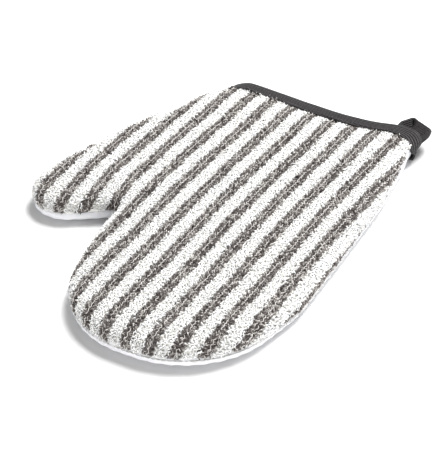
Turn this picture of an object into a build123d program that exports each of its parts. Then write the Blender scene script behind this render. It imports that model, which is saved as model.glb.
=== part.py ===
"""Padded oven mitt, lying flat on its back.

The mitt is two padded panels sewn together around the hand.  The front panel is looped towelling over wadding
and lining, and the back panel is plain cotton over wadding and lining.  A folded tape binds the cuff, and the
same tape makes a hanging loop at the corner opposite the thumb.  The thumb, the finger end and the hanging
loop each bend about a hinge line, so every layer is cut there.

Frame: +Y runs from the finger tip to the cuff, +Z runs from the back panel to the towelling, and the origin is
under the middle of the mitt.  Millimetres.
"""

import os
from math import hypot

from build123d import *

os.makedirs("parts", exist_ok=True)

# ---------------------------------------------------------------- driving dimensions
# Plan outline of the mitt: straight runs between corners, each corner rounded by its own radius.
OUTLINE = [
    # x, y, radius
    (94.0, 145.0, 0.0),
    (105.0, 60.0, 300.0),
    (109.5, -70.0, 100.0),
    (93.5, -153.0, 68.0),
    (-20.0, -157.0, 60.0),
    (-41.0, -70.0, 120.0),
    (-42.0, -38.0, 5.0),
    (-80.0, -62.0, 26.0),
    (-111.4, -57.0, 23.0),
    (-106.4, -10.0, 70.0),
    (-92.0, 38.0, 200.0),
    (-44.0, 145.0, 0.0),
]

THICKNESS = 22.0  # whole mitt, lying flat
FRONT_EDGE_RADIUS = 12.0
BACK_EDGE_RADIUS = 7.2
SMALLEST_RADIUS = 0.5

# Side seam: the row of stitches that joins the two panels all round, at this height above the floor.
SEAM_Z = 8.5
SEAM_HEIGHT = 0.8
SEAM_LOW = SEAM_Z - SEAM_HEIGHT / 2
SEAM_HIGH = SEAM_Z + SEAM_HEIGHT / 2
SEAM_INSET = 0.6
SEAM_WIDTH = 2.4

# Depths below the outer surface at which one layer of a panel ends and the next begins.
TERRY = 4.0  # looped towelling, loops included
TERRY_BOUND = 2.0  # top of the towelling where the binding presses it down
FRONT_WADDING = 8.0
FRONT_LINING = 8.8
SHELL = 1.0  # plain cotton back
SHELL_BOUND = 1.9  # inner face of the back cotton where it steps in under the binding
BACK_WADDING = 4.6
BACK_LINING = 5.4

# Cuff binding: a tape folded over the raw edges of both panels, once round the mouth of the mitt.
TAPE = 1.0  # thickness
BINDING_WIDTH = 12.5
BINDING_SINK = 1.0  # the binding lies this much below the tops of the loops
CUFF_Y = 131.5  # outer edge of the fold
BINDING_Y = CUFF_Y - BINDING_WIDTH
LAYER_END_Y = CUFF_Y - TAPE  # raw edges of the cloth, inside the fold
BOUND_Y = BINDING_Y - 0.5  # the cloth is pressed thin from here on
STEP = 1.0  # length of the step between the two levels of the back cotton

# Fold lines: the finger end and the thumb bend up towards the towelling.
FINGER_FOLD_Y = -62.0
CROTCH = (-46.8, -41.8)
THUMB_FOLD_END = (-90.0, 70.0)
FOLD_GAP = 0.3

# Hanging loop: the tape stands on edge and runs round a rounded D beyond the cuff.  Its two tails are sewn to
# the side of the cuff and under the front lining, and each leg starts as a half round about the hinge line.
LOOP_TAPE = 1.4
LOOP_WIDTH = 10.0
LOOP_PIVOT_Y = 140.0
LOOP_Z = 8.75  # height of the hinge line and of the middle of the tape
SIDE_LEG_X = 97.9
INNER_LEG_X = 74.0
LOOP_SIDE_CORNER = (99.5, 146.5)
LOOP_TIP = (79.5, 155.6)
LOOP_INNER_CORNER = (74.0, 146.5)
LOOP_RADII = [4.0, 2.5, 4.0]
TAIL_START_Y = 121.0
TAIL_END_Y = LOOP_PIVOT_Y - LOOP_WIDTH / 2 - 0.5
INNER_TAIL_TOP = THICKNESS - FRONT_LINING - TAPE - 0.05

# Stitches along the binding, and the bar tack that holds the loop.
STITCH_LENGTH = 2.6
STITCH_PITCH = 3.6
STITCH_RADIUS = 0.3
STITCH_COUNT = 32
STITCH_MIDDLE_X = 22.0
STITCH_Y = BINDING_Y + 1.8
TACK_LENGTH = 7.0
TACK_PITCH = 1.2
TACK_RADIUS = 0.4
TACK_COUNT = 6
TACK_Y = 126.5

FAR = 400.0  # larger than the mitt, for cutting tools


# ---------------------------------------------------------------- shared shapes
def outline_slab(depth, low, high):
    """The mitt's outline, drawn in by depth, as a slab between two heights."""
    with BuildPart() as slab:
        with BuildSketch(Plane.XY.offset(low)):
            with BuildLine():
                corners = [(x, y) for x, y, radius in OUTLINE]
                radii = [radius for x, y, radius in OUTLINE]
                FilletPolyline(*corners, radius=radii, close=True)
            make_face()
            if depth:
                offset(amount=-depth, kind=Kind.INTERSECTION)
        extrude(amount=high - low)
    return slab.part


def front_form(depth):
    """Everything of the front panel that lies deeper than depth below its outer surface."""
    with BuildPart() as form:
        add(outline_slab(depth, SEAM_HIGH, THICKNESS - depth))
        rim = form.faces().sort_by(Axis.Z)[-1].edges()
        fillet(rim, radius=max(FRONT_EDGE_RADIUS - depth, SMALLEST_RADIUS))
    return form.part


def back_form(depth):
    """Everything of the back panel that lies deeper than depth inside its outer surface."""
    with BuildPart() as form:
        add(outline_slab(depth, depth, SEAM_LOW))
        rim = form.faces().sort_by(Axis.Z)[0].edges()
        fillet(rim, radius=max(BACK_EDGE_RADIUS - depth, SMALLEST_RADIUS))
    return form.part


def seam_form(depth):
    """The thin slab between the two panels, drawn in by depth."""
    return outline_slab(depth, SEAM_LOW, SEAM_HIGH)


def slice_y(low, high):
    """A block that keeps what lies between two lengths along the mitt."""
    with BuildPart() as block:
        with BuildSketch():
            with Locations((0, (low + high) / 2)):
                Rectangle(FAR, high - low)
        extrude(amount=FAR / 2, both=True)
    return block.part


def between(form, outer, inner, low, high):
    """The layer of a form between two depths, over one stretch of the mitt's length."""
    with BuildPart() as layer:
        add(form(outer))
        add(form(inner), mode=Mode.SUBTRACT)
        add(slice_y(low, high), mode=Mode.INTERSECT)
    return layer.part


# ---------------------------------------------------------------- the three sections of the mitt
def thumb_block(shift):
    """Everything on the thumb's side of its fold line, with the line moved sideways by shift."""
    run_x = THUMB_FOLD_END[0] - CROTCH[0]
    run_y = THUMB_FOLD_END[1] - CROTCH[1]
    side_x = shift * run_y / hypot(run_x, run_y)
    side_y = -shift * run_x / hypot(run_x, run_y)
    with BuildPart() as block:
        with BuildSketch():
            with BuildLine():
                Polyline(
                    (CROTCH[0] + side_x, FINGER_FOLD_Y),
                    (CROTCH[0] + side_x, CROTCH[1] + side_y),
                    (THUMB_FOLD_END[0] + side_x, THUMB_FOLD_END[1] + side_y),
                    (-FAR, THUMB_FOLD_END[1]),
                    (-FAR, FINGER_FOLD_Y),
                    close=True,
                )
            make_face()
        extrude(amount=FAR / 2, both=True)
    return block.part


def hand_block():
    """The palm and cuff: all but the thumb and the finger end."""
    with BuildPart() as block:
        add(slice_y(FINGER_FOLD_Y + FOLD_GAP / 2, FAR))
        add(thumb_block(FOLD_GAP / 2), mode=Mode.SUBTRACT)
    return block.part


SECTIONS = {
    "hand": hand_block(),
    "thumb": thumb_block(-FOLD_GAP / 2),
    "fingers": slice_y(-FAR, FINGER_FOLD_Y - FOLD_GAP / 2),
}


def write_sections(name, layer):
    """Cuts one layer at the fold lines and writes a piece for each section."""
    for section, block in SECTIONS.items():
        with BuildPart() as piece:
            add(layer)
            add(block, mode=Mode.INTERSECT)
        piece.part.label = f"{name}_{section}"
        export_step(piece.part, f"parts/{name}_{section}.step")


# ---------------------------------------------------------------- front panel
with BuildPart() as terry:
    add(between(front_form, 0, TERRY, -FAR, BOUND_Y))
    add(between(front_form, TERRY_BOUND, TERRY, BOUND_Y, LAYER_END_Y))
write_sections("terry", terry.part)
write_sections("front_wadding", between(front_form, TERRY, FRONT_WADDING, -FAR, LAYER_END_Y))
write_sections("front_lining", between(front_form, FRONT_WADDING, FRONT_LINING, -FAR, LAYER_END_Y))

# ---------------------------------------------------------------- back panel
with BuildPart() as back_shell:
    add(between(back_form, 0, SHELL, -FAR, BOUND_Y - STEP))
    add(between(back_form, 0, SHELL_BOUND, BOUND_Y - STEP, BOUND_Y))
    add(between(back_form, SHELL, SHELL_BOUND, BOUND_Y, LAYER_END_Y))
write_sections("back_shell", back_shell.part)

with BuildPart() as back_wadding:
    add(between(back_form, SHELL, BACK_WADDING, -FAR, BOUND_Y - STEP))
    add(between(back_form, SHELL_BOUND, BACK_WADDING, BOUND_Y - STEP, LAYER_END_Y))
write_sections("back_wadding", back_wadding.part)
write_sections("back_lining", between(back_form, BACK_WADDING, BACK_LINING, -FAR, LAYER_END_Y))

# ---------------------------------------------------------------- side seam
write_sections("side_seam", between(seam_form, SEAM_INSET, SEAM_INSET + SEAM_WIDTH, -FAR, BOUND_Y))

# ---------------------------------------------------------------- cuff binding
with BuildPart() as cuff_binding:
    # outer leg, inner leg and the fold at the raw edges, for the front panel and then for the back
    add(between(front_form, BINDING_SINK, BINDING_SINK + TAPE, BINDING_Y, CUFF_Y))
    add(between(front_form, FRONT_LINING, FRONT_LINING + TAPE, BINDING_Y, CUFF_Y))
    add(between(front_form, BINDING_SINK, FRONT_LINING + TAPE, LAYER_END_Y, CUFF_Y))
    add(between(back_form, 0, TAPE, BINDING_Y, CUFF_Y))
    add(between(back_form, BACK_LINING, BACK_LINING + TAPE, BINDING_Y, CUFF_Y))
    add(between(back_form, 0, BACK_LINING + TAPE, LAYER_END_Y, CUFF_Y))
    # where it turns from one panel to the other at the two corners of the cuff
    add(between(seam_form, 0, BINDING_SINK + TAPE, BINDING_Y, CUFF_Y))
    add(between(seam_form, 0, FRONT_LINING + TAPE, LAYER_END_Y, CUFF_Y))
cuff_binding.part.label = "cuff_binding"
export_step(cuff_binding.part, "parts/cuff_binding.step")


def stitch_row(height):
    """One row of straight stitches lying on a face of the binding, their middles at this height."""
    with BuildPart() as row:
        with BuildSketch(Plane.YZ.offset(STITCH_MIDDLE_X)):
            with Locations((STITCH_Y, height)):
                Circle(STITCH_RADIUS)
        extrude(amount=STITCH_LENGTH / 2, both=True)
    half = STITCH_PITCH * (STITCH_COUNT - 1) / 2
    with BuildPart() as stitches:
        for number in range(STITCH_COUNT):
            add(Pos(number * STITCH_PITCH - half, 0, 0) * row.part)
    return stitches.part


front_stitching = stitch_row(THICKNESS - BINDING_SINK + STITCH_RADIUS)
front_stitching.label = "binding_stitches_front"
export_step(front_stitching, "parts/binding_stitches_front.step")

back_stitching = stitch_row(BACK_LINING + TAPE + STITCH_RADIUS)
back_stitching.label = "binding_stitches_back"
export_step(back_stitching, "parts/binding_stitches_back.step")

# ---------------------------------------------------------------- hanging loop
with BuildPart() as hanging_loop:
    with BuildSketch(Plane.XY.offset(LOOP_Z - LOOP_WIDTH / 2)):
        with BuildLine():
            FilletPolyline(
                (SIDE_LEG_X, LOOP_PIVOT_Y),
                LOOP_SIDE_CORNER,
                LOOP_TIP,
                LOOP_INNER_CORNER,
                (INNER_LEG_X, LOOP_PIVOT_Y),
                radius=LOOP_RADII,
            )
        trace(line_width=LOOP_TAPE)
    extrude(amount=LOOP_WIDTH)
    for leg_x in (SIDE_LEG_X, INNER_LEG_X):
        with BuildSketch(Plane.YZ.offset(leg_x)):
            with Locations((LOOP_PIVOT_Y, LOOP_Z)):
                Circle(LOOP_WIDTH / 2)
        extrude(amount=LOOP_TAPE / 2, both=True)
hanging_loop.part.label = "hanging_loop"
export_step(hanging_loop.part, "parts/hanging_loop.step")

with BuildPart() as loop_side_tail:
    with BuildSketch(Plane.XY.offset(LOOP_Z - LOOP_WIDTH / 2)):
        with Locations((SIDE_LEG_X, (TAIL_START_Y + TAIL_END_Y) / 2)):
            Rectangle(LOOP_TAPE, TAIL_END_Y - TAIL_START_Y)
    extrude(amount=LOOP_WIDTH)
loop_side_tail.part.label = "loop_side_tail"
export_step(loop_side_tail.part, "parts/loop_side_tail.step")

with BuildPart() as loop_inner_tail:
    with BuildSketch(Plane.XY.offset(INNER_TAIL_TOP)):
        with Locations((INNER_LEG_X, (TAIL_START_Y + TAIL_END_Y) / 2)):
            Rectangle(LOOP_WIDTH, TAIL_END_Y - TAIL_START_Y)
    extrude(amount=-LOOP_TAPE)
loop_inner_tail.part.label = "loop_inner_tail"
export_step(loop_inner_tail.part, "parts/loop_inner_tail.step")

# The bar tack: short thread bars across the side tail.
with BuildPart() as tack_bar:
    with BuildSketch(Plane.XY.offset(LOOP_Z - TACK_LENGTH / 2)):
        with Locations((SIDE_LEG_X + LOOP_TAPE / 2 + TACK_RADIUS, TACK_Y)):
            Circle(TACK_RADIUS)
    extrude(amount=TACK_LENGTH)
with BuildPart() as loop_bar_tack:
    for number in range(TACK_COUNT):
        add(Pos(0, (number - (TACK_COUNT - 1) / 2) * TACK_PITCH, 0) * tack_bar.part)
loop_bar_tack.part.label = "loop_bar_tack"
export_step(loop_bar_tack.part, "parts/loop_bar_tack.step")
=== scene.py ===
"""Padded oven mitt lying on its back: the looks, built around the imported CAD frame.

Each panel is a cloth form made from the mitt's plan outline and blown up slightly by a cloth simulation. The
striped towelling carries real yarn loops, placed row by row in the cloth's own flat pattern. Lengths are in
millimetres until a mesh is made.
"""

import math

import bmesh
import bpy
import numpy as np
from mathutils import Matrix, Vector, geometry


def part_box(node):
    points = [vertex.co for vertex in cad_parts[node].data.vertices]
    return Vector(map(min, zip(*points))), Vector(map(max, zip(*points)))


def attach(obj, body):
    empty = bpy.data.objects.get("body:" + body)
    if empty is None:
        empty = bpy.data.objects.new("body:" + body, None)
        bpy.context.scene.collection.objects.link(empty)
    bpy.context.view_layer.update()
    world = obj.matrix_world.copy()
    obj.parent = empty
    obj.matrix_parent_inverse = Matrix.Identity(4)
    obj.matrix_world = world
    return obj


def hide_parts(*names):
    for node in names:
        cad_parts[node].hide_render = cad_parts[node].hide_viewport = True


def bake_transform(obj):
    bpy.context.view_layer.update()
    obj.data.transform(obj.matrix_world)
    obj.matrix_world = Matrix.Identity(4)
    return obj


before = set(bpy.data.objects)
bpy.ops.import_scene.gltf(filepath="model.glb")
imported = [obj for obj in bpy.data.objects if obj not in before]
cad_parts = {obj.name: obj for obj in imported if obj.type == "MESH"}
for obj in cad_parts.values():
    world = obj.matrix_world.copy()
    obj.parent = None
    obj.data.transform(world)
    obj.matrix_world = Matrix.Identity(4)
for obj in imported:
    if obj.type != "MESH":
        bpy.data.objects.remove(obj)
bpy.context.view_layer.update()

MM = 0.001
rng = np.random.default_rng(11)

# ---------------------------------------------------------------- heights and lengths taken from the frame
SEAM_Z = (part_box("side_seam_hand")[0].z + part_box("side_seam_hand")[1].z) / 2 / MM
CUFF_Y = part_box("cuff_binding")[1].y / MM
BINDING_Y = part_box("cuff_binding")[0].y / MM
BINDING_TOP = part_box("cuff_binding")[1].z / MM
LOOP_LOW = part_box("hanging_loop")[0].z / MM
LOOP_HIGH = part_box("hanging_loop")[1].z / MM
STITCH_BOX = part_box("binding_stitches_front")

# Plan outline: straight runs between corners (x, y, radius), from the right of the cuff round to its left.
OUTLINE = [
    (94.0, 145.0, 0.0),
    (105.0, 60.0, 300.0),
    (109.5, -70.0, 100.0),
    (93.5, -153.0, 68.0),
    (-20.0, -157.0, 60.0),
    (-41.0, -70.0, 120.0),
    (-42.0, -38.0, 5.0),
    (-80.0, -62.0, 26.0),
    (-111.4, -57.0, 23.0),
    (-106.4, -10.0, 70.0),
    (-92.0, 38.0, 200.0),
    (-44.0, 145.0, 0.0),
]
CELL = 2.6  # spacing of the cloth's points
CREST = 12.4  # how far in from the outline the rounded edge ends
RINGS = 9  # rows of points up the rounded edge
TUCK = 1.5  # how far the cloths draw in to go under the binding
SPLIT_Y = -46.0  # the mitt's pieces are cut here, where neither fold turns them
CROTCH_X = -48.0

# The thumb's fold: its middle, the way across it and how far it reaches to either side. Here it only sorts
# the loops and stripe threads into the thumb's pieces or the palm's.
FOLD_MIDDLE = np.array([-64.0, 5.0])
FOLD_SIDE = np.array([-0.93279, -0.36043])
FOLD_HALF = 13.0

# Stripes of the towelling, along the mitt.
STRIPE_PITCH = 16.0
STRIPE_AT = 1.3
# How far the stripes wander sideways along the mitt.
DRIFT_Y, DRIFT_X = (-160, -80, -10, 40, 80, 130), (1.8, 1.4, 0.2, 1.4, 3.0, 3.4)
# The plain white margin along the thumb's outer side: the ground cloth is white where x < at + slope * y.
MARGIN_AT, MARGIN_SLOPE = -92.0, 0.362


# ---------------------------------------------------------------- helpers
def rounded(corners, step):
    """Points, and normals to the right of travel, along straight runs joined by each corner's arc."""
    at = [np.array(c[:2], float) for c in corners]
    points, normals, start = [], [], at[0]
    for i in range(1, len(at)):
        end, bend = at[i], i < len(at) - 1
        if bend:
            back = (at[i - 1] - at[i]) / np.linalg.norm(at[i - 1] - at[i])
            on = (at[i + 1] - at[i]) / np.linalg.norm(at[i + 1] - at[i])
            half = math.acos(float(back @ on)) / 2
            radius = corners[i][2]
            end = at[i] + back * radius / math.tan(half)
            middle = at[i] + (back + on) / np.linalg.norm(back + on) * radius / math.sin(half)
        run = end - start
        way = run / np.linalg.norm(run)
        count = max(1, math.ceil(np.linalg.norm(run) / step))
        for k in range(count):
            points.append(start + run * k / count)
            normals.append((way[1], -way[0]))
        if bend:
            angle = math.pi - 2 * half
            turn = math.copysign(angle, -back[0] * on[1] + back[1] * on[0])
            count = max(2, math.ceil(angle * radius / min(step, 0.35 * radius)))
            for k in range(count):
                c, s = math.cos(turn * k / count), math.sin(turn * k / count)
                spin = np.array([[c, -s], [s, c]])
                points.append(middle + spin @ (end - middle))
                way = spin @ -back
                normals.append((way[1], -way[0]))
            start = at[i] + on * radius / math.tan(half)
    points.append(at[-1])
    normals.append(normals[-1])
    return np.array(points), np.array(normals)


def inside(points, polygon):
    """Which points lie in a closed polygon."""
    x, y = points[:, :1], points[:, 1:]
    a, b = polygon, np.roll(polygon, -1, axis=0)
    spans = (a[:, 1] > y) != (b[:, 1] > y)
    with np.errstate(divide="ignore", invalid="ignore"):
        cross = (b[:, 0] - a[:, 0]) * (y - a[:, 1]) / (b[:, 1] - a[:, 1]) + a[:, 0]
    return (spans & (x < cross)).sum(1) % 2 == 1


def waves(x, y, seed):
    """A smooth, gently irregular height between about -1 and 1."""
    own = np.random.default_rng(seed)
    total = 0
    for _ in range(6):
        angle, length, phase = own.uniform(0, math.pi), own.uniform(28, 90), own.uniform(0, 2 * math.pi)
        total = total + np.sin(2 * math.pi * (x * math.cos(angle) + y * math.sin(angle)) / length + phase)
    return total / 3.5


def smooth(value, start, end):
    """A soft step from 0 to 1."""
    share = np.clip((value - start) / (end - start), 0, 1)
    return share * share * (3 - 2 * share)


# How the cloth cuff sags: its edge is drawn in at the middle and pushed out by the loop's tails.
BOW_X = (-52, -44, -36, -20, 0, 15, 30, 45, 56, 67, 78, 84, 90, 96, 102)
BOW_Y = (-3.5, -3.0, -1.2, -2.0, -3.2, -4.1, -4.6, -4.4, -3.0, -0.9, 2.2, 3.0, 2.0, -1.2, -5.0)


def corner_dip(x, z):
    """How far the binding's edge drops over the front at the hanging loop's corner, and rises below it."""
    return smooth(x, 72, 92) * (2.2 - 6.4 * (1 - smooth(z, 7, 14)))


def sagged(points):
    """The points with the cuff's sag and its flared right corner."""
    x, y, z = points[..., 0], points[..., 1], points[..., 2]
    out = points.copy()
    out[..., 1] += np.interp(x, BOW_X, BOW_Y) * smooth(y, 85, 120)
    out[..., 0] += 4.0 * smooth(x, 86, 96) * smooth(z, 8, 16) * smooth(y, 116, 128)
    return out


def new_object(name, mesh, material, smooth=True):
    mesh.name = name
    mesh.materials.clear()
    mesh.materials.append(material)
    if smooth:
        mesh.polygons.foreach_set("use_smooth", [True] * len(mesh.polygons))
    obj = bpy.data.objects.new(name, mesh)
    bpy.context.scene.collection.objects.link(obj)
    return obj


def solid(obj, thickness, offset=-1.0):
    """Gives a cloth its thickness, inwards from the modelled face."""
    mod = obj.modifiers.new("Solidify", "SOLIDIFY")
    mod.thickness = thickness * MM
    mod.offset = offset
    mod.use_even_offset = False
    return obj


# ---------------------------------------------------------------- materials
def linear(value):
    return value / 12.92 if value <= 0.04045 else ((value + 0.055) / 1.055) ** 2.4


def rgb(red, green, blue):
    return (linear(red / 255), linear(green / 255), linear(blue / 255), 1)


class Nodes:
    """A short way to write a material's nodes."""

    def __init__(self, name, roughness, sheen=0.0, specular=0.3):
        self.material = bpy.data.materials.new(name)
        self.material.use_nodes = True
        self.tree = self.material.node_tree
        self.shader = next(n for n in self.tree.nodes if n.type == "BSDF_PRINCIPLED")
        self.shader.inputs["Roughness"].default_value = roughness
        self.shader.inputs["Sheen Weight"].default_value = sheen
        self.shader.inputs["Sheen Roughness"].default_value = 0.5
        self.shader.inputs["Specular IOR Level"].default_value = specular

    def add(self, kind, settings=None, **inputs):
        node = self.tree.nodes.new("ShaderNode" + kind)
        for key, value in (settings or {}).items():
            setattr(node, key, value)
        for key, value in inputs.items():
            socket = node.inputs[int(key[1:])] if key[0] == "i" and key[1:].isdigit() else node.inputs[key]
            self.put(socket, value)
        return node

    def put(self, socket, value):
        if isinstance(value, bpy.types.NodeSocket):
            self.tree.links.new(value, socket)
        elif isinstance(value, bpy.types.Node):
            self.tree.links.new(value.outputs[0], socket)
        else:
            socket.default_value = value

    def math(self, operation, *values):
        node = self.add("Math", {"operation": operation})
        for socket, value in zip(node.inputs, values):
            self.put(socket, value)
        return node.outputs[0]

    def noise(self, vector, scale, detail=2.0, roughness=0.5):
        node = self.add("TexNoise", Scale=scale, Detail=detail, Roughness=roughness)
        self.put(node.inputs["Vector"], vector)
        return node.outputs["Fac"]

    def ramp(self, value, *stops):
        node = self.add("ValToRGB")
        self.put(node.inputs["Fac"], value)
        marks = node.color_ramp.elements
        while len(marks) < len(stops):
            marks.new(0.5)
        for mark, (place, colour) in zip(marks, stops):
            mark.position = place
            mark.color = colour
        return node.outputs["Color"]

    def mix(self, share, first, second):
        node = self.add("Mix", {"data_type": "RGBA"})
        self.put(node.inputs[0], share)
        self.put(node.inputs[6], first)
        self.put(node.inputs[7], second)
        return node.outputs[2]

    def bump(self, height, strength, distance):
        node = self.add("Bump", Height=height, Strength=strength, Distance=distance)
        self.put(self.shader.inputs["Normal"], node.outputs[0])

    def colour(self, value):
        self.put(self.shader.inputs["Base Color"], value)

    def plan(self):
        """The cloth's own flat pattern, in millimetres, as x and y."""
        uv = self.add("UVMap", {"uv_map": "plan"})
        split = self.add("SeparateXYZ")
        self.put(split.inputs[0], uv.outputs[0])
        return (
            uv.outputs[0],
            self.math("MULTIPLY", split.outputs[0], 1000.0),
            self.math("MULTIPLY", split.outputs[1], 1000.0),
        )


def yarn_material(name, dark, middle, light, sheen, glow):
    """Spun yarn: each loop has its own shade, with flecks along it and fine fibres."""
    m = Nodes(name, 0.9, sheen, 0.15)
    m.shader.inputs["Subsurface Weight"].default_value = glow
    m.shader.inputs["Subsurface Radius"].default_value = (1.0, 0.95, 0.9)
    m.shader.inputs["Subsurface Scale"].default_value = 0.0012
    own = m.add("Attribute", {"attribute_name": "yarn"}).outputs["Fac"]
    at = m.add("TexCoord").outputs["Object"]
    flecks = m.noise(at, 1500.0, 2.0)
    value = m.math("ADD", m.math("MULTIPLY", flecks, 0.5), m.math("SUBTRACT", own, 0.25))
    m.colour(m.ramp(value, (0.0, dark), (0.5, middle), (1.0, light)))
    m.put(m.shader.inputs["Roughness"], m.math("MULTIPLY_ADD", flecks, 0.15, 0.82))
    m.bump(m.noise(at, 4000.0, 2.0), 0.5, 0.0003)
    return m.material


def woven_material(name, warm, cool, pitch, depth, sheen=0.1):
    """Plain woven cotton: over and under threads at the given pitch, with slubs."""
    m = Nodes(name, 0.85, sheen, 0.2)
    at, x, y = m.plan()
    turn = 2 * math.pi / pitch
    across = m.math("SINE", m.math("MULTIPLY", x, turn))
    along = m.math("SINE", m.math("MULTIPLY", y, turn))
    weave = m.math("MULTIPLY", across, along)
    slubs = m.noise(at, 260.0, 3.0)
    cloudy = m.noise(at, 22.0, 3.0)
    mottled = m.math("ADD", m.math("MULTIPLY", slubs, 0.5), cloudy)
    shade = m.math("ADD", m.math("MULTIPLY", weave, 0.12), mottled)
    m.colour(m.ramp(m.math("MULTIPLY", shade, 0.66), (0.25, cool), (0.75, warm)))
    m.put(m.shader.inputs["Roughness"], m.math("MULTIPLY_ADD", slubs, 0.15, 0.78))
    m.bump(m.math("ADD", weave, m.math("MULTIPLY", slubs, 1.5)), 0.6, depth)
    return m.material


def tape_material():
    """Charcoal twill tape: fine ribs nearly along it, and a soft sheen."""
    m = Nodes("charcoal twill tape", 0.75, 0.15, 0.2)
    at, x, y = m.plan()
    wobble = m.math("MULTIPLY", m.noise(at, 120.0, 2.0), 0.5)
    rib = m.math("SINE", m.math("MULTIPLY", m.math("ADD", m.math("MULTIPLY_ADD", x, 0.06, wobble), y), 3.1))
    thread = m.math("SINE", m.math("MULTIPLY", m.math("MULTIPLY_ADD", y, 0.6, x), 9.0))
    fleck = m.noise(at, 900.0, 2.0)
    shade = m.math("ADD", m.math("MULTIPLY", rib, 0.28), m.math("MULTIPLY_ADD", thread, 0.08, fleck))
    m.colour(m.ramp(shade, (0.15, rgb(12, 11, 12)), (0.5, rgb(40, 36, 39)), (0.9, rgb(80, 75, 78))))
    m.put(m.shader.inputs["Roughness"], m.math("MULTIPLY_ADD", fleck, 0.2, 0.65))
    m.bump(m.math("ADD", rib, m.math("MULTIPLY", thread, 0.5)), 1.0, 0.0005)
    return m.material


def ground_material(name, light, dark, edge):
    """The towelling's ground cloth, woven in the stripes' colours."""
    m = Nodes(name, 0.95, 0.1, 0.1)
    at, x, y = m.plan()
    frayed = m.math("MULTIPLY_ADD", m.noise(at, 500.0, 2.0), 1.6, -0.8)
    place = m.math("DIVIDE", m.math("ADD", x, frayed), STRIPE_PITCH)
    from_stripe = m.math("ABSOLUTE", m.math("SUBTRACT", place, m.math("ROUND", place)))
    margin_x = m.math("MULTIPLY_ADD", y, MARGIN_SLOPE, MARGIN_AT)
    margin = m.math("LESS_THAN", m.math("ADD", x, STRIPE_AT), margin_x)
    striped = m.math("GREATER_THAN", m.math("SUBTRACT", edge / STRIPE_PITCH, from_stripe), margin)
    fleck = m.noise(at, 1400.0, 2.0)
    pale = m.ramp(fleck, (0.3, rgb(236, 233, 227)), (0.7, light))
    grey = m.ramp(fleck, (0.3, dark), (0.7, rgb(120, 113, 110)))
    m.colour(m.mix(striped, pale, grey))
    m.bump(fleck, 0.8, 0.0004)
    return m.material


def wadding_material():
    """Bonded fibre wadding: pale, matt and full of fibres."""
    m = Nodes("fibre wadding", 0.95, 0.3, 0.1)
    at = m.add("TexCoord").outputs["Object"]
    fibres = m.add("TexWave", Scale=700.0, Distortion=9.0, Detail=3.0)
    m.put(fibres.inputs["Vector"], at)
    lumps = m.noise(at, 160.0, 3.0)
    m.colour(m.ramp(lumps, (0.3, rgb(214, 213, 208)), (0.7, rgb(240, 240, 237))))
    m.bump(m.math("ADD", fibres.outputs["Fac"], lumps), 0.7, 0.0006)
    return m.material


def thread_material(name, dark, light):
    """Twisted sewing thread."""
    m = Nodes(name, 0.6, 0.2, 0.35)
    at = m.add("TexCoord").outputs["Object"]
    ply = m.add("TexWave", {"bands_direction": "DIAGONAL"}, Scale=900.0, Distortion=1.0)
    m.put(ply.inputs["Vector"], at)
    m.colour(m.ramp(ply.outputs["Fac"], (0.2, dark), (0.8, light)))
    m.bump(ply.outputs["Fac"], 0.8, 0.0002)
    return m.material


CREAM = yarn_material(
    "cream pile yarn", rgb(245, 243, 238), rgb(253, 252, 249), rgb(255, 255, 253), 0.25, 0.6
)
GREY = yarn_material("grey pile yarn", rgb(70, 64, 62), rgb(142, 135, 132), rgb(240, 236, 231), 0.15, 0.0)
PALE = yarn_material("stripe thread", rgb(190, 186, 182), rgb(226, 222, 218), rgb(248, 246, 242), 0.1, 0.0)
GROUND = ground_material("towelling ground", rgb(252, 250, 246), rgb(64, 58, 56), 3.9)
COTTON = woven_material("white cotton", rgb(251, 251, 253), rgb(236, 237, 242), 0.8, 0.00012)
LINING = woven_material("lining cotton", rgb(240, 237, 230), rgb(222, 218, 209), 0.9, 0.00015)
TAPE = tape_material()
WADDING = wadding_material()
DARK_THREAD = thread_material("charcoal thread", rgb(40, 37, 39), rgb(92, 87, 90))
WHITE_THREAD = thread_material("white thread", rgb(238, 238, 238), rgb(252, 252, 252))

# ---------------------------------------------------------------- the flat cutting pattern of a panel
rim, rim_in = rounded(OUTLINE, CELL)
rim_length = np.concatenate([[0], np.cumsum(np.linalg.norm(np.diff(rim, axis=0), axis=1))])
RIM = len(rim)
crest = rim + rim_in * CREST
low, high = crest.min(0), crest.max(0)
columns, rows = np.arange(low[0], high[0], CELL), np.arange(low[1], high[1], CELL)
middle = np.stack(np.meshgrid(columns, rows), -1).reshape(-1, 2)
middle = middle[inside(middle, crest)]
near = np.array([np.min(np.linalg.norm(crest - p, axis=1)) for p in middle])
middle = middle[near > 0.6 * CELL]
flat = np.concatenate([crest, middle])
found = geometry.delaunay_2d_cdt([Vector(p) for p in flat], [], [list(range(RIM))], 1, 1e-6)
to_flat = [source[0] for source in found[3]]
CREST_ROW = (RINGS - 1) * RIM
filling = [tuple(CREST_ROW + to_flat[i] for i in face) for face in found[2]]
edging = [
    (k * RIM + j, (k + 1) * RIM + j, (k + 1) * RIM + j + 1, k * RIM + j + 1)
    for k in range(RINGS - 1)
    for j in range(RIM - 1)
]
FACES = edging + filling

# The seam climbs where the back wraps up beside the cuff and at the crotch, and sinks along the right side.
rim_rise = np.where(
    rim[:, 0] > 60,
    np.interp(rim[:, 1], (-140, -110, -60, 0, 40, 70, 84, 97), (0.3, 0, -2.4, -2.2, -0.6, 0.8, 2.0, 7.8)),
    0.0,
)
rim_rise += 2.0 * np.exp(-(((rim - (-46.8, -41.8)) ** 2).sum(1) / 14.0**2))
rim_rise = np.convolve(np.pad(rim_rise, 3, "edge"), np.ones(7) / 7, "valid")


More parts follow.
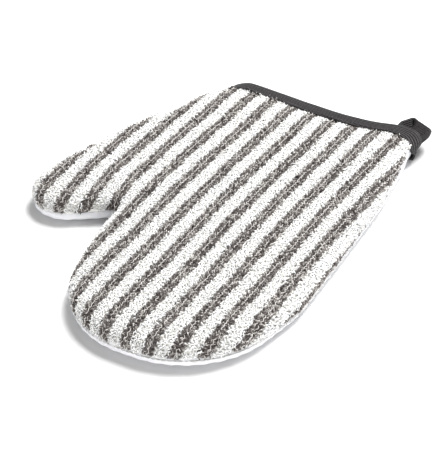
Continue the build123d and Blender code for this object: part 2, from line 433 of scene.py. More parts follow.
def panel(edge, z_edge, z_crest, fullness=2.4, ripple=0.0, swell=0.0, seed=1, rise=0.0, bulge=0.0):
    """One layer's points: up the rounded edge ring by ring, then over the middle, with its flat pattern."""
    angle = np.linspace(0, math.pi / 2, RINGS)
    power = 2 / fullness
    tucked = smooth(rim[:, 1], 98, 118)
    inset = (edge + (CREST - edge) * (1 - np.cos(angle) ** power))[:, None]
    inset = inset + TUCK * tucked * np.cos(angle)[:, None]
    inset -= bulge * np.sin(np.minimum(angle / 1.1, 1) * math.pi)[:, None] * (1 - tucked)
    start = z_edge + rise * rim_rise
    height = start + (z_crest - start) * (np.sin(angle) ** power)[:, None]
    steps = np.hypot(np.diff(inset, axis=0), np.diff(height, axis=0))
    below = np.concatenate([np.zeros((1, RIM)), np.cumsum(steps, axis=0)])
    points, pattern = [], []
    for k in range(RINGS):
        fade = (1 - k / (RINGS - 1)) ** 1.5
        pucker = np.sin(2 * math.pi * rim_length / 9.5 + 2.0 * np.sin(rim_length / 31.0)) * ripple * fade
        hump = waves(*(rim + rim_in * inset[k][:, None]).T, seed) * swell * (1 - fade)
        plan = rim + rim_in * (inset[k] + pucker)[:, None]
        points.append(np.column_stack([plan, height[k] + hump + 0.6 * pucker]))
        pattern.append(rim + rim_in * (CREST - (below[-1] - below[k]))[:, None])
    points.append(np.column_stack([middle, z_crest + waves(*middle.T, seed) * swell]))
    pattern.append(middle)
    return np.concatenate(points), np.concatenate(pattern)


def cut(bm, y, keep_low=True):
    """Trims a mesh at a line across the mitt."""
    bmesh.ops.bisect_plane(
        bm,
        geom=bm.verts[:] + bm.edges[:] + bm.faces[:],
        dist=1e-7,
        plane_co=(0, y * MM, 0),
        plane_no=(0, 1, 0),
        clear_outer=keep_low,
    )


def sag(bm):
    """Gives a trimmed mesh the cuff's sag."""
    points = sagged(np.array([v.co for v in bm.verts]) / MM) * MM
    for vertex, place in zip(bm.verts, points):
        vertex.co = place


def cap(bm):
    """Closes open ends."""
    edges = [e for e in bm.edges if e.is_boundary]
    return bmesh.ops.holes_fill(bm, edges=edges, sides=0)["faces"]


def zone_of(x, y):
    """Which run of pieces a place belongs to: the finger end, or the palm with the thumb."""
    return "fingers" if y < SPLIT_Y * MM and x > CROTCH_X * MM else "palm"


def by_zone(bm, closed):
    """The mesh as two, cut where no fold turns it."""
    cut(bm, SPLIT_Y, keep_low=False)
    parts = {}
    for zone in ("palm", "fingers"):
        part = bm.copy()
        away = [f for f in part.faces if zone_of(*f.calc_center_median().xy) != zone]
        bmesh.ops.delete(part, geom=away, context="FACES")
        if closed:
            cap(part)
            bmesh.ops.recalc_face_normals(part, faces=part.faces[:])
        mesh = bpy.data.meshes.new(zone)
        part.to_mesh(mesh)
        part.free()
        parts[zone] = mesh
    return parts


def fold(obj, zone):
    """Bakes a piece's placement into its mesh, the same way for either zone."""
    if zone == "fingers":
        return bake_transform(obj)
    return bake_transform(obj)


# ---------------------------------------------------------------- outer cloths, blown up together
front, front_plan = panel(1.2, SEAM_Z, 19.0, 2.3, ripple=0.12, swell=0.45, seed=3, rise=1)
front_plan[:, 0] -= np.interp(front_plan[:, 1], DRIFT_Y, DRIFT_X)
front_plan[:, 0] += 2.0 * smooth(-front[:, 0], 84, 106) * smooth(-front[:, 1], -15, 30)
back, back_plan = panel(1.2, SEAM_Z, 0.7, 3.0, ripple=0.32, seed=5, rise=1, bulge=1.1)
COUNT = len(front)
shell = bmesh.new()
plan_layer = shell.loops.layers.uv.new("plan")
side_layer = shell.faces.layers.int.new("side")
back[:RIM] = front[:RIM]
vertices = [shell.verts.new(Vector(p) * MM) for p in front]
vertices += [shell.verts.new(Vector(p) * MM) for p in back[RIM:]]
for side, pattern in ((1, front_plan), (0, back_plan)):
    for face in FACES:
        order = face if side else face[::-1]
        made = shell.faces.new([vertices[i if side or i < RIM else COUNT - RIM + i] for i in order])
        made[side_layer] = side
        for corner, i in zip(made.loops, order):
            corner[plan_layer].uv = pattern[i] * MM
cut(shell, CUFF_Y - 1.2)
sag(shell)
for lid in cap(shell):
    lid[side_layer] = 2
bmesh.ops.recalc_face_normals(shell, faces=shell.faces[:])
shell_mesh = bpy.data.meshes.new("shell")
shell.to_mesh(shell_mesh)
shell.free()


def inflate(mesh, pinned, most, sink):
    """Blows a closed cloth up, then holds each point within a distance of where it began."""
    began = np.empty(len(mesh.vertices) * 3, np.float32)
    mesh.vertices.foreach_get("co", began)
    began = began.reshape(-1, 3).astype(float)
    obj = bpy.data.objects.new("inflating", mesh)
    bpy.context.scene.collection.objects.link(obj)
    group = obj.vertex_groups.new(name="pinned")
    group.add([int(i) for i in np.nonzero(pinned(began))[0]], 1.0, "REPLACE")
    cloth = obj.modifiers.new("Cloth", "CLOTH")
    cloth.settings.quality = 6
    cloth.settings.mass = 0.25
    cloth.settings.tension_stiffness = 12
    cloth.settings.compression_stiffness = 12
    cloth.settings.shear_stiffness = 6
    cloth.settings.bending_stiffness = 0.4
    cloth.settings.use_pressure = True
    cloth.settings.uniform_pressure_force = 4
    cloth.settings.vertex_group_mass = "pinned"
    cloth.settings.effector_weights.gravity = 0
    scene = bpy.context.scene
    for number in range(1, 21):
        scene.frame_set(number)
    shaped = obj.evaluated_get(bpy.context.evaluated_depsgraph_get()).to_mesh()
    ended = np.empty_like(began, dtype=np.float32).reshape(-1)
    shaped.vertices.foreach_get("co", ended)
    bpy.data.objects.remove(obj)
    scene.frame_set(1)
    moved = ended.reshape(-1, 3) - began
    size = np.linalg.norm(moved, axis=1, keepdims=True)
    held = began + moved * (most * np.tanh(size / most) / np.maximum(size, 1e-9))
    held[:, 2] = np.maximum(held[:, 2], sink)
    mesh.vertices.foreach_set("co", held.astype(np.float32).reshape(-1))
    mesh.update()


inflate(shell_mesh, lambda p: p[:, 1] > (BINDING_Y - 6) * MM, 1.5 * MM, 0.0)


def side_of(mesh, side):
    """The front or the back cloth of the blown-up shell."""
    bm = bmesh.new()
    bm.from_mesh(mesh)
    layer = bm.faces.layers.int["side"]
    bmesh.ops.delete(bm, geom=[f for f in bm.faces if f[layer] != side], context="FACES")
    return bm


front_bm = side_of(shell_mesh, 1)
front_mesh = bpy.data.meshes.new("front")
front_bm.to_mesh(front_mesh)
back_bm = side_of(shell_mesh, 0)


# ---------------------------------------------------------------- pile loops
def cloth_map(mesh):
    """The cloth's triangles: flat pattern, place and normal of each corner, in millimetres."""
    mesh.calc_loop_triangles()
    corners = np.empty(len(mesh.loop_triangles) * 3, np.int32)
    mesh.loop_triangles.foreach_get("loops", corners)
    vertex = np.empty(len(mesh.loops), np.int32)
    mesh.loops.foreach_get("vertex_index", vertex)
    uv = np.empty(len(mesh.loops) * 2, np.float32)
    mesh.uv_layers["plan"].data.foreach_get("uv", uv)
    co = np.empty(len(mesh.vertices) * 3, np.float32)
    mesh.vertices.foreach_get("co", co)
    normal = np.empty(len(mesh.vertices) * 3, np.float32)
    mesh.vertices.foreach_get("normal", normal)
    uv = uv.reshape(-1, 2)[corners].reshape(-1, 3, 2).astype(float) / MM
    co = co.reshape(-1, 3)[vertex[corners]].reshape(-1, 3, 3).astype(float) / MM
    normal = normal.reshape(-1, 3)[vertex[corners]].reshape(-1, 3, 3).astype(float)
    return uv, co, normal


class Spots:
    """Places on the towelling, found from points of its flat pattern."""

    def __init__(self, u, v, cloth):
        """u and v are grids of flat pattern points, in rising order along both."""
        uv, co, normal = cloth
        out = []
        for t in range(len(uv)):
            a, b, c = uv[t]
            area = (b[0] - a[0]) * (c[1] - a[1]) - (c[0] - a[0]) * (b[1] - a[1])
            if area < 0.05:
                continue
            i0, i1 = np.searchsorted(u[:, 0], (uv[t, :, 0].min() - 1.5, uv[t, :, 0].max() + 1.5))
            j0, j1 = np.searchsorted(v[0], (uv[t, :, 1].min() - 1.5, uv[t, :, 1].max() + 1.5))
            pu, pv = u[i0:i1, j0:j1], v[i0:i1, j0:j1]
            wb = ((pu - a[0]) * (c[1] - a[1]) - (c[0] - a[0]) * (pv - a[1])) / area
            wc = ((b[0] - a[0]) * (pv - a[1]) - (pu - a[0]) * (b[1] - a[1])) / area
            for i, j in zip(*np.nonzero((wb >= 0) & (wc >= 0) & (wb + wc < 1))):
                out.append((t, wb[i, j], wc[i, j], i0 + i, j0 + j))
        rows = np.array(out)
        t = rows[:, 0].astype(int)
        weight = np.column_stack([1 - rows[:, 1] - rows[:, 2], rows[:, 1], rows[:, 2]])[:, :, None]
        self.column, self.row = rows[:, 3].astype(int), rows[:, 4].astype(int)
        self.place = (co[t] * weight).sum(1)
        self.up = (normal[t] * weight).sum(1)
        self.up /= np.linalg.norm(self.up, axis=1, keepdims=True)
        e1, e2 = co[t, 1] - co[t, 0], co[t, 2] - co[t, 0]
        f1, f2 = uv[t, 1] - uv[t, 0], uv[t, 2] - uv[t, 0]
        det = f1[:, :1] * f2[:, 1:] - f2[:, :1] * f1[:, 1:]
        across = (e1 * f2[:, 1:] - e2 * f1[:, 1:]) / det
        across -= self.up * (across * self.up).sum(1, keepdims=True)
        self.across = across / np.linalg.norm(across, axis=1, keepdims=True)
        self.along = np.cross(self.up, self.across)


def strands(paths, side, radius, sides, extra=None):
    """Tubes along paths that all have as many points, as one mesh. side is a vector across each point."""
    count, steps = paths.shape[:2]
    way = np.gradient(paths, axis=1)
    way /= np.linalg.norm(way, axis=2, keepdims=True)
    first = side - way * (side * way).sum(2, keepdims=True)
    first /= np.linalg.norm(first, axis=2, keepdims=True)
    second = np.cross(way, first)
    turn = 2 * math.pi * (np.arange(sides) + 0.5) / sides
    thick = np.asarray(radius)
    ring = first[:, :, None] * np.cos(turn)[:, None] + second[:, :, None] * np.sin(turn)[:, None]
    points = paths[:, :, None] + ring * thick[..., None, None]
    index = np.arange(count * steps * sides).reshape(count, steps, sides)
    turned = np.roll(index, -1, axis=2)
    faces = np.stack([index[:, :-1], turned[:, :-1], turned[:, 1:], index[:, 1:]], -1).reshape(-1, 4)
    mesh = bpy.data.meshes.new("strands")
    mesh.vertices.add(points.size // 3)
    mesh.vertices.foreach_set("co", (points * MM).astype(np.float32).reshape(-1))
    mesh.loops.add(faces.size)
    mesh.loops.foreach_set("vertex_index", faces.astype(np.int32).reshape(-1))
    mesh.polygons.add(len(faces))
    mesh.polygons.foreach_set("loop_start", np.arange(0, faces.size, 4, dtype=np.int32))
    mesh.update(calc_edges=True)
    if extra is not None:
        own = mesh.attributes.new("yarn", "FLOAT", "POINT")
        own.data.foreach_set("value", np.repeat(extra, steps * sides).astype(np.float32))
    return mesh


def pile(spots, shade, height, short, width, yarn, lean):
    """Yarn loops standing on the cloth, each turned, leaning and sized its own way."""
    count = len(spots.place)
    high = (height * short * rng.uniform(0.78, 1.15, count))[:, None]
    wide = width * rng.uniform(0.8, 1.25, count)[:, None]
    a = np.linspace(0, math.pi, 5)[None]
    y = -np.cos(a) * wide * (0.5 + 0.28 * np.sin(a))
    z = high * np.sin(a) ** 0.85 - 0.35 * (np.abs(np.cos(a)) > 0.99)
    x = 0.30 * wide * np.sin(2 * a) * rng.uniform(-1, 1, count)[:, None]
    spin = rng.uniform(-1, 1, count)[:, None] * math.radians(75)
    tilt_x = rng.normal(0, lean, count)[:, None] * z
    tilt_y = rng.normal(0, lean, count)[:, None] * z
    px = x * np.cos(spin) - y * np.sin(spin) + tilt_x
    py = x * np.sin(spin) + y * np.cos(spin) + tilt_y
    z = z * (1 - 0.25 * np.minimum(1, np.abs(tilt_x) + np.abs(tilt_y)) / 2)
    frame3 = [v[:, None] for v in (spots.across, spots.along, spots.up)]
    paths = spots.place[:, None] + px[..., None] * frame3[0] + py[..., None] * frame3[1]
    paths = paths + z[..., None] * frame3[2]
    side = np.cos(spin)[..., None] * frame3[0] + np.sin(spin)[..., None] * frame3[1]
    side = np.broadcast_to(side, paths.shape)
    thick = yarn * rng.uniform(0.85, 1.15, count)[:, None] * (1 + 0.15 * np.sin(a))
    return strands(paths, side, thick, 3, shade)


def pick(spots, keep):
    """Some of the spots."""
    chosen = Spots.__new__(Spots)
    for name in ("column", "row", "place", "up", "across", "along"):
        setattr(chosen, name, getattr(spots, name)[keep])
    return chosen


cloth = cloth_map(front_mesh)
ROW = 1.24
# How wide the bare margin along the thumb's outer side is, by its place along the mitt.
MARGIN_Y, MARGIN_WIDE = (-40, -30, -10, 45, 70, 95, 112, 125), (0, 4.5, 9.5, 11.0, 9.5, 7.5, 5.0, 3.0)
# Each colour's loops: height, width, yarn radius and lean.
GREY_LOOP, CREAM_LOOP = (2.3, 1.15, 0.25, 0.38), (2.0, 1.35, 0.5, 0.16)
HALF_COLUMNS = np.array([0.95, 2.05, 3.15, 4.5, 5.85, 7.25])
COLUMNS = np.concatenate([-HALF_COLUMNS[::-1], HALF_COLUMNS])
us = (np.arange(-8, 9)[:, None] * STRIPE_PITCH + STRIPE_AT + COLUMNS).ravel()
vs = np.arange(-166, 128, ROW)
u, v = np.meshgrid(us, vs, indexing="ij")
at_edge = (np.abs(np.abs(np.tile(COLUMNS, 17)) - 3.8) < 0.8)[:, None]
spots = Spots(u + rng.normal(0, 0.28, u.shape) * (1 + at_edge), v + rng.normal(0, 0.28, v.shape), cloth)
from_stripe = np.abs((us[spots.column] - STRIPE_AT + STRIPE_PITCH / 2) % STRIPE_PITCH - STRIPE_PITCH / 2)
is_grey = from_stripe < 3.8
place_x, place_y = spots.place[:, 0], spots.place[:, 1]
zone_fingers = (place_y < SPLIT_Y) & (place_x > CROTCH_X)
to_thumb = (spots.place[:, :2] - FOLD_MIDDLE) @ FOLD_SIDE
zone_thumb = ~zone_fingers & (to_thumb > -FOLD_HALF - 1)
zone_palm = ~zone_fingers & ~zone_thumb
nearest = np.concatenate([
    np.argmin(((part[:, None, :2] - rim[None]) ** 2).sum(2), axis=1)
    for part in np.array_split(spots.place, 40)
])
above_seam = spots.place[:, 2] - SEAM_Z - rim_rise[nearest]
bare = vs[spots.row] > BINDING_Y + 0.6 - corner_dip(spots.place[:, 0], spots.place[:, 2])
at_right = smooth(place_x, 95, 100) * (place_y > -110) * (place_y < 0)
bare |= above_seam < 0.6 - 2.2 * at_right + rng.uniform(-0.9, 0.9, len(above_seam))
# Along the thumb's outer side a margin of the towelling is flat and white.
from_rim = np.linalg.norm(spots.place[:, :2] - rim[nearest], axis=1)
margin = np.interp(rim[nearest][:, 1], MARGIN_Y, MARGIN_WIDE) * (rim[nearest][:, 0] < -50)
bare |= from_rim < margin + rng.uniform(-0.7, 0.7, len(margin)) * (margin > 0)
short = 0.6 + 0.4 * smooth(above_seam, 1.0, 6.0)
loops = {"palm": [], "fingers": []}
for zone, chosen, home in (
    ("fingers", zone_fingers, "fingers"),
    ("thumb", zone_thumb, "palm"),
    ("palm", zone_palm, "palm"),
):
    for colour, grey, material in (("cream", False, CREAM), ("grey", True, GREY)):
        kept = chosen & (is_grey == grey) & ~bare
        part = pick(spots, kept)
        count = len(part.place)
        shade = np.clip(rng.beta(0.9, 1.0, count), 0, 1) if grey else rng.uniform(0.35, 0.95, count)
        height, width, yarn, lean = GREY_LOOP if grey else CREAM_LOOP
        mesh = pile(part, shade, height, short[kept], width, yarn, lean)
        obj = new_object(f"pile_loops_{colour}_{zone}", mesh, material)
        if zone == "palm":
            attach(obj, "hand")
        else:
            fold(obj, "fingers" if zone == "fingers" else "palm")
        loops[home].append(obj)
        print(obj.name, count, "loops", len(mesh.polygons) * 2, "triangles")

# The pale thread that shows down the middle of each grey stripe, in short straight runs from side to side.
line_us = np.arange(-8, 9) * STRIPE_PITCH + STRIPE_AT
line_vs = np.arange(-166, BINDING_Y, 1.6)
u, v = np.meshgrid(line_us, line_vs, indexing="ij")
u = u + np.where(np.arange(len(line_vs)) % 2, 0.45, -0.45) + rng.normal(0, 0.15, u.shape)
marks = Spots(u, v, cloth)
order = np.lexsort((marks.row, marks.column))
marks = pick(marks, order)
follows = (np.diff(marks.row) == 1) & (np.diff(marks.column) == 0)
tops = marks.place + marks.up * 2.1
follows &= (np.linalg.norm(np.diff(tops, axis=0), axis=1) < 3.5) & (rng.uniform(0, 1, len(follows)) < 0.8)
first = np.nonzero(follows)[0]
runs = np.stack([tops[first], tops[first + 1]], 1)
for zone in ("palm", "thumb", "fingers"):
    centre = runs.mean(1)
    in_fingers = (centre[:, 1] < SPLIT_Y) & (centre[:, 0] > CROTCH_X)
    in_thumb = ~in_fingers & ((centre[:, :2] - FOLD_MIDDLE) @ FOLD_SIDE > -FOLD_HALF - 1)
    keep = {"fingers": in_fingers, "thumb": in_thumb, "palm": ~in_fingers & ~in_thumb}[zone]
    side = np.broadcast_to(marks.up[first][keep][:, None], runs[keep].shape)
    mesh = strands(runs[keep], side, np.full((keep.sum(), 2), 0.2), 4, rng.uniform(0.3, 0.8, keep.sum()))
    obj = new_object(f"stripe_threads_{zone}", mesh, PALE)
    if zone == "palm":
        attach(obj, "hand")
    else:
        fold(obj, "fingers" if zone == "fingers" else "palm")
    loops["fingers" if zone == "fingers" else "palm"].append(obj)

# ---------------------------------------------------------------- cloth pieces
outer = {}
for zone, mesh in by_zone(front_bm, False).items():
    obj = solid(new_object(f"towelling_{zone}", mesh, GROUND), 0.8)
    outer["towelling", zone] = fold(obj, zone)
for zone, mesh in by_zone(back_bm, False).items():
    obj = solid(new_object(f"back_cotton_{zone}", mesh, COTTON), 0.5)
    outer["back", zone] = fold(obj, zone)


def layer(name, material, slot, thickness, *profile):
    """One inner cloth, in its two pieces."""
    points, pattern = panel(*profile)
    bm = bmesh.new()
    uv = bm.loops.layers.uv.new("plan")
    vertices = [bm.verts.new(Vector(p) * MM) for p in points]
    for face in FACES:
        made = bm.faces.new([vertices[i] for i in face])
        for corner, i in zip(made.loops, face):
            corner[uv].uv = pattern[i] * MM
    cut(bm, CUFF_Y - 1.2)
    sag(bm)
    made = {}
    for zone, mesh in by_zone(bm, False).items():
        made[zone] = fold(solid(new_object(f"{name}_{zone}", mesh, material), thickness, 0), zone)
    return made


def pad(name, outer_profile, inner_profile):
    """Wadding between two faces, closed all round, in its two pieces."""
    bm = bmesh.new()
    shells = []
    for points in (panel(*outer_profile)[0], panel(*inner_profile)[0]):
        vertices = [bm.verts.new(Vector(p) * MM) for p in points]
        for face in FACES:
            bm.faces.new([vertices[i] for i in face])
        shells.append(vertices)
    for j in range(RIM - 1):
        bm.faces.new((shells[0][j], shells[0][j + 1], shells[1][j + 1], shells[1][j]))
    cut(bm, CUFF_Y - 1.2)
    sag(bm)
    cap(bm)
    bmesh.ops.recalc_face_normals(bm, faces=bm.faces[:])
    made = {}
    for zone, mesh in by_zone(bm, True).items():
        made[zone] = fold(new_object(f"{name}_{zone}", mesh, WADDING), zone)
    return made


front_wadding = pad("front_wadding", (2.6, 9.2, 17.4), (6.4, 9.6, 13.9))
back_wadding = pad("back_wadding", (2.2, 7.9, 1.6), (6.4, 8.2, 4.6))
front_lining = layer("front_lining", LINING, "lining_cotton", 0.6, 5.8, 9.1, 13.4)
back_lining = layer("back_lining", LINING, "lining_cotton", 0.6, 5.8, 8.7, 5.1)

# ---------------------------------------------------------------- side seam
seam_points = front[:RIM]
seam_at = np.arange(4.0, rim_length[-1] - 4.0, 3.4)
seam_x = np.interp(seam_at, rim_length, seam_points[:, 0])
seam_y = np.interp(seam_at, rim_length, seam_points[:, 1])
seam_dx = np.interp(seam_at + 1, rim_length, seam_points[:, 0]) - seam_x
seam_dy = np.interp(seam_at + 1, rim_length, seam_points[:, 1]) - seam_y


def stitches(name, at, way, normal, length, radius, material):
    """Short stitches that dip into the cloth at both ends."""
    along = np.linspace(-0.5, 0.5, 6)
    rise = np.cos(along * math.pi) * radius * 2.2 - radius * 1.2
    paths = at[:, None] + along[None, :, None] * length * way[:, None]
    paths = paths + rise[None, :, None] * normal[:, None]
    side = np.broadcast_to(np.cross(way, normal)[:, None], paths.shape)
    mesh = strands(paths, side, np.full((len(at), 6), radius), 6)
    return new_object(name, mesh, material)


seam_way = np.column_stack([seam_dx, seam_dy, np.zeros_like(seam_dx)])
seam_way /= np.linalg.norm(seam_way, axis=1, keepdims=True)
seam_out = np.column_stack([-seam_way[:, 1], seam_way[:, 0], np.zeros(len(seam_at))])
seam_z = np.interp(seam_at, rim_length, seam_points[:, 2])
seam_spots = sagged(np.column_stack([seam_x, seam_y, seam_z - 0.9]))
seam_spots -= seam_out * 0.2
seams = {}
for zone in ("palm", "fingers"):
    keep = np.array([zone_of(x * MM, y * MM) == zone and y < BINDING_Y - 1 for x, y in zip(seam_x, seam_y)])
    obj = stitches(
        f"side_seam_{zone}",
        seam_spots[keep],
        seam_way[keep],
        seam_out[keep],
        2.5,
        0.28,
        WHITE_THREAD,
    )
    seams[zone] = fold(obj, zone)


# ---------------------------------------------------------------- cuff binding
def side_x(y):
    """Where the mitt's left and right edges are, at a length along the cuff."""
    (x0, y0), (x1, y1) = OUTLINE[0][:2], OUTLINE[1][:2]
    (x2, y2), (x3, y3) = OUTLINE[-1][:2], OUTLINE[-2][:2]
    return x2 + (x3 - x2) * (y - y2) / (y3 - y2), x0 + (x1 - x0) * (y - y0) / (y1 - y0)


def ring(left, right, bottom, waist, top, left_radius, right_radius, back_radius):
    """A closed section of the cuff, as points (x, z), from the middle of its top round to the right."""
    centre = (left + right) / 2
    flat_count, bend_count = 26, 11
    bend = np.linspace(0, math.pi / 2, bend_count)[:-1]
    straight = np.linspace(0, 1, flat_count)[:-1]
    points = []
    for edge, way, front_radius in ((right, 1, right_radius), (left, -1, left_radius)):
        top_end, low_end = edge - way * front_radius, edge - way * back_radius
        half = [(centre + (top_end - centre) * s, top) for s in straight]
        up, down = top - waist, waist - bottom
        half += [(top_end + way * front_radius * math.sin(b), waist + up * math.cos(b)) for b in bend]
        half += [(low_end + way * back_radius * math.cos(b), waist - down * math.sin(b)) for b in bend]
        half += [(low_end + (centre - low_end) * s, bottom) for s in straight]
        points += half if way == 1 else [(centre, bottom)] + half[:0:-1]
    return np.array(points)


def binding():
    """The tape folded over the raw edges, once round the mouth."""
    outer_y = [BINDING_Y, BINDING_Y + 1.5, BINDING_Y + 3.8, BINDING_Y + 6.2]
    section = [(0.0, y) for y in outer_y]
    bulge = np.linspace(0, math.pi, 13)
    round_y = BINDING_Y + 8.0
    section += [((1 - math.cos(b)) / 2, round_y + (CUFF_Y - round_y) * math.sin(b) ** 0.8) for b in bulge]
    section += [(1.0, y) for y in (BINDING_Y + 4.5, BINDING_Y + 2.0)]
    points = []
    for share, y in section:
        left, right = side_x(y)
        out = ring(left, right, 0.0, SEAM_Z, BINDING_TOP, 16.0, 10.5 - 4.5 * smooth(y, 119, 127), 7.0)
        into = ring(left + 9.8, right - 9.8, 6.4, 9.3, 12.2, 3.0, 3.0, 2.8)
        both = out * (1 - share) + into * share
        dip = corner_dip(both[:, 0], both[:, 1]) * (1 - share) * (1 - smooth(y, BINDING_Y, BINDING_Y + 8))
        points.append(np.column_stack([both[:, 0], y - dip, both[:, 1]]))
    points = sagged(np.array(points))
    rows, around = points.shape[:2]
    length = np.concatenate([[0], np.cumsum(np.linalg.norm(np.diff(points[0], axis=0), axis=1))])
    wide = np.concatenate([[0], np.cumsum(np.linalg.norm(np.diff(points[:, 30], axis=0), axis=1))])
    wave = np.sin(length / 9.0) * 0.25 + np.sin(length / 3.7 + 1) * 0.12
    for k in range(rows):
        points[k, :, 1] += wave * (1 if k < 4 else 0.4)
        points[k, :, 2] += waves(length * 2, wide[k] * 2, 8) * 0.2 * (points[k, :, 2] > 2.0)
    points[..., 2] = np.maximum(points[..., 2], 0.0)
    bm = bmesh.new()
    uv = bm.loops.layers.uv.new("plan")
    grid = [[bm.verts.new(Vector(p) * MM) for p in row] for row in points]
    total = length[-1] + np.linalg.norm(points[0, -1] - points[0, 0])
    for k in range(rows - 1):
        for j in range(around):
            i = (j + 1) % around
            made = bm.faces.new((grid[k][j], grid[k + 1][j], grid[k + 1][i], grid[k][i]))
            x0, x1 = length[j], length[i] if i else total
            corners = ((x0, wide[k]), (x0, wide[k + 1]), (x1, wide[k + 1]), (x1, wide[k]))
            for corner, at in zip(made.loops, corners):
                corner[uv].uv = Vector(at) * MM
    bmesh.ops.recalc_face_normals(bm, faces=bm.faces[:])
    mesh = bpy.data.meshes.new("binding")
    bm.to_mesh(mesh)
    bm.free()
    return mesh


cuff = solid(new_object("cuff_binding_tape", binding(), TAPE), 0.9)
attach(cuff, "hand")

# ---------------------------------------------------------------- stitches along the binding
stitch_x = np.linspace(STITCH_BOX[0].x / MM + 1.3, STITCH_BOX[1].x / MM - 1.3, 32)
for name, height in (("front", BINDING_TOP + 0.15), ("back", 6.4 + 0.15)):
    stitch_y = BINDING_Y + 1.8 if name == "front" else BINDING_Y + 4
    at = sagged(np.column_stack([stitch_x, np.full(32, stitch_y), np.full(32, height)]))
    way, normal = np.tile([1.0, 0.04, 0.0], (32, 1)), np.tile([0.0, 0.0, 1.0], (32, 1))
    obj = stitches(f"binding_stitching_{name}", at, way, normal, 2.7, 0.28, DARK_THREAD)
    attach(obj, "hand") or obj


# ---------------------------------------------------------------- hanging loop
def tape_strip(name, route, widths, thickness):
    """A flat tape along a route, its width along a vector at each point."""
    length = np.concatenate([[0], np.cumsum(np.linalg.norm(np.diff(route, axis=0), axis=1))])
    bm = bmesh.new()
    uv = bm.loops.layers.uv.new("plan")
    across = np.linspace(-0.5, 0.5, 7)
    grid = [[bm.verts.new(Vector(p + w * s) * MM) for s in across] for p, w in zip(route, widths)]
    wide = np.linalg.norm(widths, axis=1)
    for k in range(len(route) - 1):
        for j in range(6):
            made = bm.faces.new((grid[k][j], grid[k + 1][j], grid[k + 1][j + 1], grid[k][j + 1]))
            corners = ((k, j), (k + 1, j), (k + 1, j + 1), (k, j + 1))
            for corner, (a, b) in zip(made.loops, corners):
                corner[uv].uv = Vector((length[a], across[b] * wide[a] * 1.4)) * MM
    mesh = bpy.data.meshes.new(name)
    bm.to_mesh(mesh)
    bm.free()
    return solid(new_object(name, mesh, TAPE), thickness, 0)


LOOP_EDGE = [
    (97.0, 122.5, 0.0),
    (99.4, 138.0, 20.0),
    (97.6, 147.0, 4.5),
    (79.6, 155.0, 2.0),
    (74.2, 146.5, 4.0),
    (74.8, 120.0, 0.0),
]
LOOP_WIDE = LOOP_HIGH - LOOP_LOW
loop_plan, loop_out = rounded(LOOP_EDGE, 1.0)
loop_at = np.concatenate([[0], np.cumsum(np.linalg.norm(np.diff(loop_plan, axis=0), axis=1))])
apex_at = loop_at[np.argmax(loop_plan[:, 1])]
marks_at = (0, 6, 16, apex_at - 6, apex_at - 0.5, apex_at + 5, loop_at[-1])
loop_tilt = np.radians(np.interp(loop_at, marks_at, (38, 40, 54, 56, 8, 38, 38)))[:, None]
loop_side = np.column_stack([loop_out, 0 * loop_at])
loop_width = LOOP_WIDE * (np.sin(loop_tilt) * loop_side + np.cos(loop_tilt) * (0, 0, 1))
loop_route = np.column_stack([loop_plan, np.full(len(loop_plan), LOOP_HIGH)]) - loop_width / 2
hanger = tape_strip("hanging_loop_tape", loop_route, loop_width, 1.2)
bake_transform(hanger)

tack_at = np.array([np.interp(123.5 + 1.2 * k, loop_plan[:20, 1], np.arange(20)) for k in range(6)])
tack_at = tack_at.round().astype(int)
tack_way = loop_width[tack_at] / LOOP_WIDE
tack_out = np.cross(np.gradient(loop_route, axis=0)[tack_at], tack_way)
tack = stitches(
    "loop_bar_tack_thread",
    loop_route[tack_at] + tack_out / np.linalg.norm(tack_out, axis=1, keepdims=True) * 0.7,
    tack_way,
    tack_out / np.linalg.norm(tack_out, axis=1, keepdims=True),
    7.0,
    0.35,
    DARK_THREAD,
)
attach(tack, "hand")
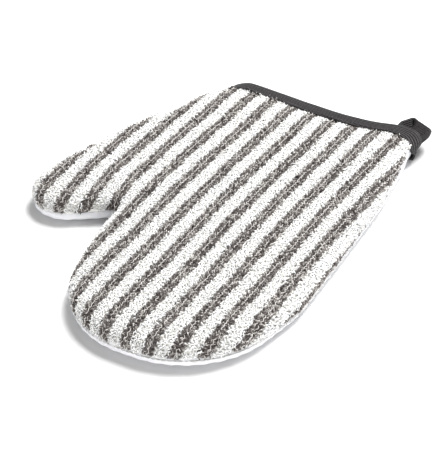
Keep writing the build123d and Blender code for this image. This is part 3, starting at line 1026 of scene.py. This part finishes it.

# ---------------------------------------------------------------- hide the frame's parts that the pieces replace
for name, kind, pieces in (
    ("terry", "towelling", outer),
    ("back_shell", "back", outer),
):
    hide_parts(f"{name}_hand", f"{name}_thumb")
    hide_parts(f"{name}_fingers")
for name, pieces in (
    ("front_wadding", front_wadding),
    ("back_wadding", back_wadding),
    ("front_lining", front_lining),
    ("back_lining", back_lining),
    ("side_seam", seams),
):
    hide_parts(f"{name}_hand", f"{name}_thumb")
    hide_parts(f"{name}_fingers")
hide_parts("cuff_binding")
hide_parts("binding_stitches_front")
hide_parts("binding_stitches_back")
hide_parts("hanging_loop", "loop_side_tail", "loop_inner_tail")
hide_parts("loop_bar_tack")

# ---------------------------------------------------------------- stage, light and camera
bpy.ops.mesh.primitive_plane_add(size=12.0, location=(0, 0, 0))
floor = bpy.context.object
floor.name = "floor"
paper = bpy.data.materials.new("pale floor")
paper.use_nodes = True
surface = next(n for n in paper.node_tree.nodes if n.type == "BSDF_PRINCIPLED")
surface.inputs["Base Color"].default_value = (0.87, 0.87, 0.87, 1)
surface.inputs["Roughness"].default_value = 0.9
surface.inputs["Specular IOR Level"].default_value = 0.0
floor.data.materials.append(paper)

world = bpy.data.worlds.new("studio")
bpy.context.scene.world = world
world.use_nodes = True
background = next(n for n in world.node_tree.nodes if n.type == "BACKGROUND")
background.inputs["Color"].default_value = (1.0, 1.0, 1.0, 1)
background.inputs["Strength"].default_value = 0.24


def area_light(name, place, target, size, power):
    lamp = bpy.data.lights.new(name, "AREA")
    lamp.shape = "SQUARE"
    lamp.size = size
    lamp.energy = power
    obj = bpy.data.objects.new(name, lamp)
    obj.location = place
    obj.rotation_euler = (Vector(target) - Vector(place)).to_track_quat("-Z", "Y").to_euler()
    bpy.context.scene.collection.objects.link(obj)


area_light("key", (0.3, 1.0, 2.1), (0, 0, 0), 1.15, 100.0)
area_light("fill", (0.75, -1.3, 0.25), (0, 0, 0), 0.8, 13.0)

camera_data = bpy.data.cameras.new("camera")
camera_data.sensor_fit = "HORIZONTAL"
camera_data.sensor_width = 36.0
camera_data.lens = 153.93
camera_data.clip_end = 50.0
camera = bpy.data.objects.new("camera", camera_data)
right, up, forward = (0.86622, 0.49967, 0.0), (-0.30148, 0.52265, 0.79746), (-0.39847, 0.69078, -0.60337)
camera.matrix_world = Matrix.Translation((0.5067, -0.8615, 0.7384)) @ Matrix(
    (
        (right[0], up[0], -forward[0], 0),
        (right[1], up[1], -forward[1], 0),
        (right[2], up[2], -forward[2], 0),
        (0, 0, 0, 1),
    )
)
bpy.context.scene.collection.objects.link(camera)
bpy.context.scene.camera = camera
bpy.context.scene.view_settings.view_transform = "Standard"
